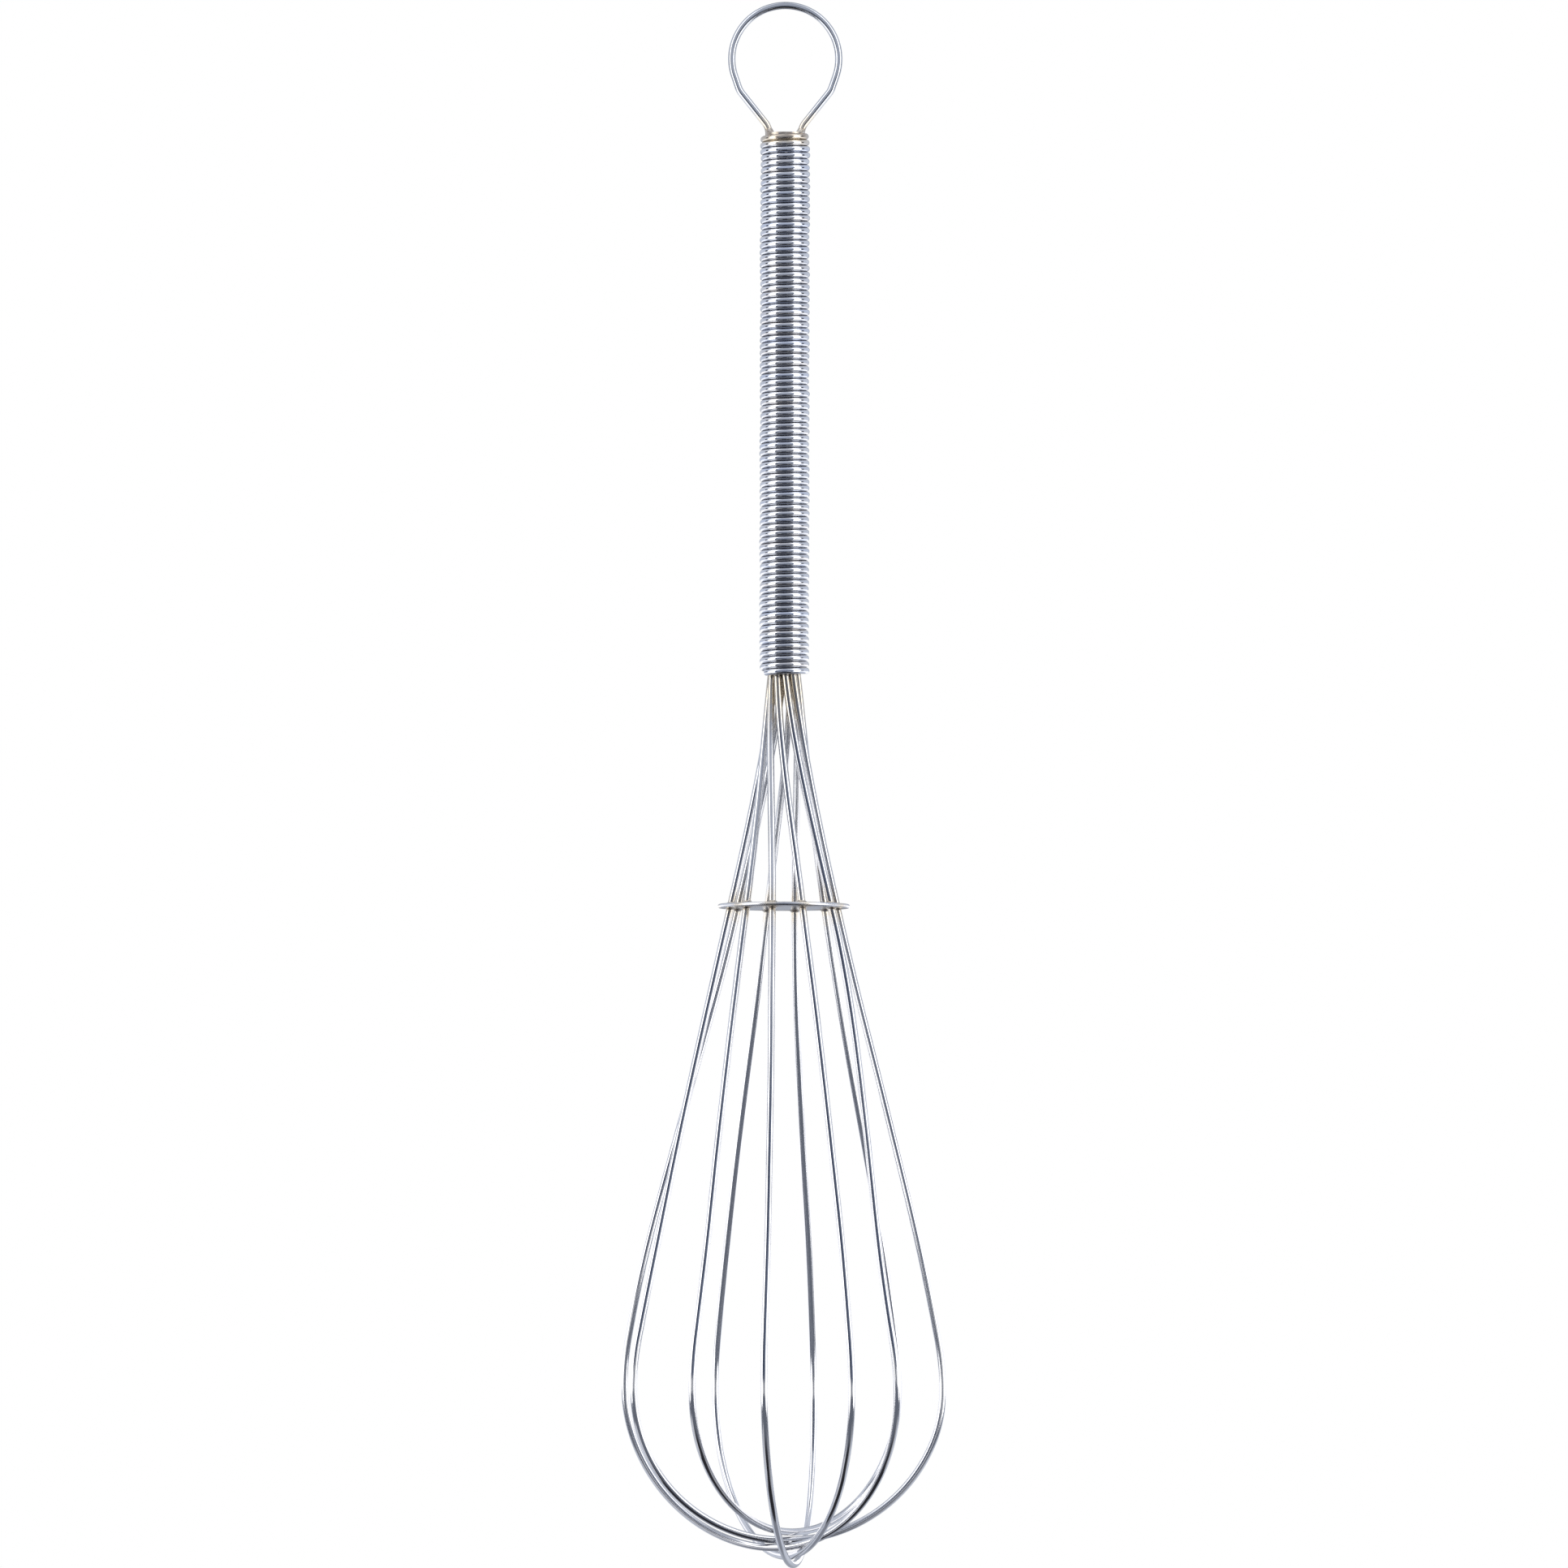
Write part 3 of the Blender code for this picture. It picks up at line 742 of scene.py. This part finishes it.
def make_disc_braze():
    ragged, uneven_height = 0.18, 0.25
    ragged_from_wire = 0.0005
    material = braze_material("disc_braze_metal")
    for index in range(LEG_COUNT):
        azimuth = hole_azimuth(index)
        lean = travel(azimuth, SLOPE_AT_DISC)

        def follow_wire(point, turn, lean=lean, index=index):
            """Leans with the wire, and spreads unevenly as molten metal does."""
            side = 1.0 if point.z > 0 else 4.0
            east, north = math.cos(turn), math.sin(turn)
            ripple = noise.noise(Vector((east * 1.1, north * 1.1, index * 2.7 + side)))
            ripple += 0.5 * noise.noise(Vector((east * 2.6, north * 2.6, index * 5.1 - side)))
            reach = math.hypot(point.x, point.y)
            spread = clamped((reach - WIRE_R) / ragged_from_wire)
            scale = 1.0 + ragged * ripple * spread
            taller = 1.0 + uneven_height * noise.noise(Vector((index * 1.9, side, 0.4)))
            height = point.z
            if abs(height) > DISC_T / 2:
                height = math.copysign(DISC_T / 2 + (abs(height) - DISC_T / 2) * taller, height)
            offset = lean * -height
            return Vector((point.x * scale + offset.x, point.y * scale + offset.y, height))

        centre = polar(HOLE_RING_R, azimuth, Z_DISC)
        name = f"disc_joint_{index + 1:02d}"
        mesh = lathe_mesh(name, bead_profile(), JOINT_SEGMENTS, centre, follow_wire)
        mesh.materials.append(material)
        new_piece(name, mesh, f"disc_braze_{index + 1:02d}")


def make_handle_top_braze(material):
    """A pool of braze that closes the handle's top, dished and resting on the last turn."""
    inner = HANDLE_D / 2 - COIL_WIRE_D
    pool_r = inner + 0.0002
    centre_level, rise_to_rim, rim_foot, depth = -0.00035, 0.00045, -0.0002, -0.0017
    lowest_wetted, climb_height, climb_reach = -0.0005, 0.0011, 0.0004
    steps = 12
    centre = Vector((0, 0, Z_HANDLE_TOP))
    profile = [(0.0, centre_level)]
    for i in range(1, steps + 1):
        share = i / steps
        profile.append((pool_r * share, centre_level + rise_to_rim * share**2))
    profile += [(pool_r, rim_foot), (inner, depth), (0.0, depth)]

    def climb_legs(point, _azimuth):
        """The pool's top climbs each leg of the hanging loop."""
        if point.z < lowest_wetted:
            return point
        legs = (Vector((side * LOOP_LEG_X_AT_MOUTH, 0)) for side in (-1, 1))
        gap = min((point.xy - leg).length for leg in legs)
        climb = climb_height * math.exp(-max(gap - WIRE_R, 0.0) / climb_reach)
        return point + Vector((0, 0, climb))

    mesh = lathe_mesh("handle_top_joint", profile, TOP_JOINT_SEGMENTS, centre, climb_legs)
    mesh.materials.append(material)
    new_piece("handle_top_joint", mesh, "handle_braze_top")


def make_handle_mouth_braze(material):
    """A plug of braze among the legs, with a drop-shaped lower end just below the mouth."""
    plug_r = BUNDLE_R - WIRE_R + 0.0001
    height, drop = 0.006, 0.0012
    profile = [(0.0, height), (plug_r, height), (plug_r, height / 2), (plug_r, 0.0)]
    profile += [(plug_r * math.cos(a), -drop * math.sin(a)) for a in (0.3, 0.6, 0.9, 1.2)]
    profile.append((0.0, -drop))
    centre = Vector((0, 0, Z_MOUTH))
    mesh = lathe_mesh("handle_mouth_joint", profile, MOUTH_JOINT_SEGMENTS, centre)
    mesh.materials.append(material)
    new_piece("handle_mouth_joint", mesh, "handle_braze_bottom")


# Surroundings

CARD_DISTANCE = 0.30
FLOOR_BELOW_TIP = 0.17
FLOOR_HALF_SIZE = 4.0
CEILING = rgb(0.66, 0.70, 0.80)


def make_floor():
    mesh = bpy.data.meshes.new("floor")
    shape = bmesh.new()
    bmesh.ops.create_grid(shape, x_segments=1, y_segments=1, size=FLOOR_HALF_SIZE)
    shape.to_mesh(mesh)
    shape.free()
    floor = bpy.data.objects.new("floor", mesh)
    floor.location = (0, 0, Z_TIP - FLOOR_BELOW_TIP)
    floor.visible_glossy = False
    bpy.context.scene.collection.objects.link(floor)
    material = bpy.data.materials.new("pale_floor")
    material.use_nodes = True
    nodes = Nodes(material.node_tree)
    shader = material.node_tree.nodes["Principled BSDF"]
    place = nodes.add("ShaderNodeTexCoord").outputs["Object"]
    shade = nodes.mix(nodes.noise(place, 3.0), rgb(0.86, 0.86, 0.86), rgb(0.88, 0.88, 0.88))
    nodes.wire(shade, shader.inputs["Base Color"])
    shader.inputs["Roughness"].default_value = 0.9
    mesh.materials.append(material)


def make_studio():
    """The room that the whisk mirrors, painted on the sky by azimuth and elevation in degrees.

    Azimuth runs from the camera's side, 0, to the backdrop, 180, alike on both sides. The camera
    itself sees plain white behind the whisk.
    """
    world = bpy.data.worlds.new("studio")
    bpy.context.scene.world = world
    world.use_nodes = True
    tree = world.node_tree
    nodes = Nodes(tree)
    direction = nodes.add("ShaderNodeSeparateXYZ")
    nodes.wire(nodes.add("ShaderNodeTexCoord").outputs["Generated"], direction.inputs[0])
    degrees = 180.0 / math.pi
    forward = nodes.math("MULTIPLY", direction.outputs["Y"], -1.0)
    bearing = nodes.math("ARCTAN2", direction.outputs["X"], forward)
    bearing = nodes.math("MULTIPLY", bearing, degrees)
    azimuth = nodes.math("ABSOLUTE", bearing)
    elevation = nodes.math("MULTIPLY", nodes.math("ARCSINE", direction.outputs["Z"]), degrees)

    lilac = rgb(0.83, 0.88, 0.99)
    room = nodes.mix(nodes.step(azimuth, 146, 172), lilac, rgb(0.46, 0.49, 0.56))

    # In front: a pale ceiling, a navy wall, a grey lower wall and a black floor
    navy = nodes.mix(nodes.step(bearing, -15, 50), rgb(0.08, 0.10, 0.16), rgb(0.36, 0.41, 0.52))
    black, grey = rgb(0.035, 0.035, 0.042), rgb(0.19, 0.21, 0.26)
    front = nodes.mix(nodes.step(elevation, -40, -26), black, grey)
    front = nodes.mix(nodes.step(elevation, -6, 6), front, navy)
    ceiling = nodes.mix(nodes.step(azimuth, 38, 48), CEILING, rgb(1.6, 1.62, 1.68))
    front = nodes.mix(nodes.step(elevation, 32, 44), front, ceiling)
    room = nodes.mix(nodes.step(forward, -0.10, 0.0), room, front)

    def paint(room, colour, azimuths, elevations, blur):
        """Adds a soft-edged rectangle to the room, on both sides."""
        mask = 1.0
        for value, (low, high) in ((azimuth, azimuths), (elevation, elevations)):
            mask = nodes.math("MULTIPLY", mask, nodes.step(value, low - blur, low + blur))
            beyond = nodes.step(value, high - blur, high + blur)
            mask = nodes.math("MULTIPLY", mask, nodes.math("SUBTRACT", 1.0, beyond))
        return nodes.mix(mask, room, colour)

    # Behind: grey low down, lilac above it, and a dark gap just beyond each soft box
    room = paint(room, rgb(0.34, 0.36, 0.42), (100, 200), (-95, -48), 7)
    room = paint(room, lilac, (84, 150), (-42, 95), 4)
    room = paint(room, rgb(0.04, 0.04, 0.06), (87, 101), (-19, 18), 3)

    camera_ray = nodes.add("ShaderNodeLightPath").outputs["Is Camera Ray"]
    seen = nodes.mix(camera_ray, room, rgb(1.0, 1.0, 1.0))
    nodes.wire(seen, tree.nodes["Background"].inputs["Color"])


def make_card(name, degrees, width, heights, colour):
    """A glowing upright card close to the whisk, facing its axis; only reflections show it."""
    mesh = bpy.data.meshes.new(name)
    half = width / 2
    low, high = heights
    corners = [(-half, 0, low), (half, 0, low), (half, 0, high), (-half, 0, high)]
    mesh.from_pydata(corners, [], [(0, 1, 2, 3)])
    card = bpy.data.objects.new(name, mesh)
    azimuth = math.radians(degrees)
    card.location = polar(CARD_DISTANCE, azimuth)
    card.rotation_euler = (0, 0, azimuth)
    card.visible_camera = False
    card.visible_shadow = False
    bpy.context.scene.collection.objects.link(card)
    material = bpy.data.materials.new(name)
    material.use_nodes = True
    tree = material.node_tree
    tree.nodes.remove(tree.nodes["Principled BSDF"])
    nodes = Nodes(tree)
    glow = nodes.add("ShaderNodeEmission")
    glow.inputs["Color"].default_value = colour
    nodes.wire(glow.outputs["Emission"], tree.nodes["Material Output"].inputs["Surface"])
    mesh.materials.append(material)


def make_cards():
    """Two tall soft boxes with dimmer cards below them, and a pale panel in front, high up.

    Low strips light the balloon from the front, and rear boxes burn out the edges of its wires.
    """
    for side, name in ((-1, "left"), (1, "right")):
        make_card(f"{name}_soft_box", side * 63.5, 0.20, (-0.31, 0.50), rgb(2.7, 2.7, 2.7))
        make_card(f"{name}_strip", side * 28.0, 0.17, (-0.284, -0.246), rgb(1.2, 1.2, 1.2))
        make_card(f"{name}_rear_box", side * 127.0, 0.58, (-0.28, -0.15), rgb(1.6, 1.6, 1.65))
    make_card("left_low_card", -63.5, 0.20, (-0.62, -0.37), rgb(0.85, 0.86, 0.92))
    make_card("right_low_card", 63.5, 0.20, (-0.62, -0.37), rgb(0.50, 0.51, 0.55))
    make_card("top_panel", 0.0, 0.44, (-0.02, 0.36), CEILING)


def make_camera():
    """A long lens, tilted slightly up, whose frame is as wide as the whisk is long."""
    lens, sensor = 600.0, 36.0
    tilt, roll = math.radians(2.6), math.radians(0.10)
    length = WHOLE_HIGH.z - WHOLE_LOW.z
    middle = Vector((0.0, 0.0, (WHOLE_HIGH.z + WHOLE_LOW.z) / 2))
    distance = length * lens / sensor
    data = bpy.data.cameras.new("camera")
    data.lens = lens
    data.sensor_width = sensor
    data.clip_end = 60.0
    camera = bpy.data.objects.new("camera", data)
    away = Matrix.Translation(middle - Vector((0, math.cos(tilt), math.sin(tilt))) * distance)
    aim = Matrix.Rotation(math.pi / 2 + tilt, 4, "X") @ Matrix.Rotation(roll, 4, "Z")
    camera.matrix_world = away @ aim
    bpy.context.scene.collection.objects.link(camera)
    bpy.context.scene.camera = camera


make_camera()
make_studio()
make_cards()
make_floor()
make_winding()
make_whisk_wires()
make_hanging_loop()
make_disc()
make_disc_braze()
handle_braze_metal = braze_material("handle_braze_metal")
make_handle_top_braze(handle_braze_metal)
make_handle_mouth_braze(handle_braze_metal)
bpy.context.scene.view_settings.view_transform = "Standard"
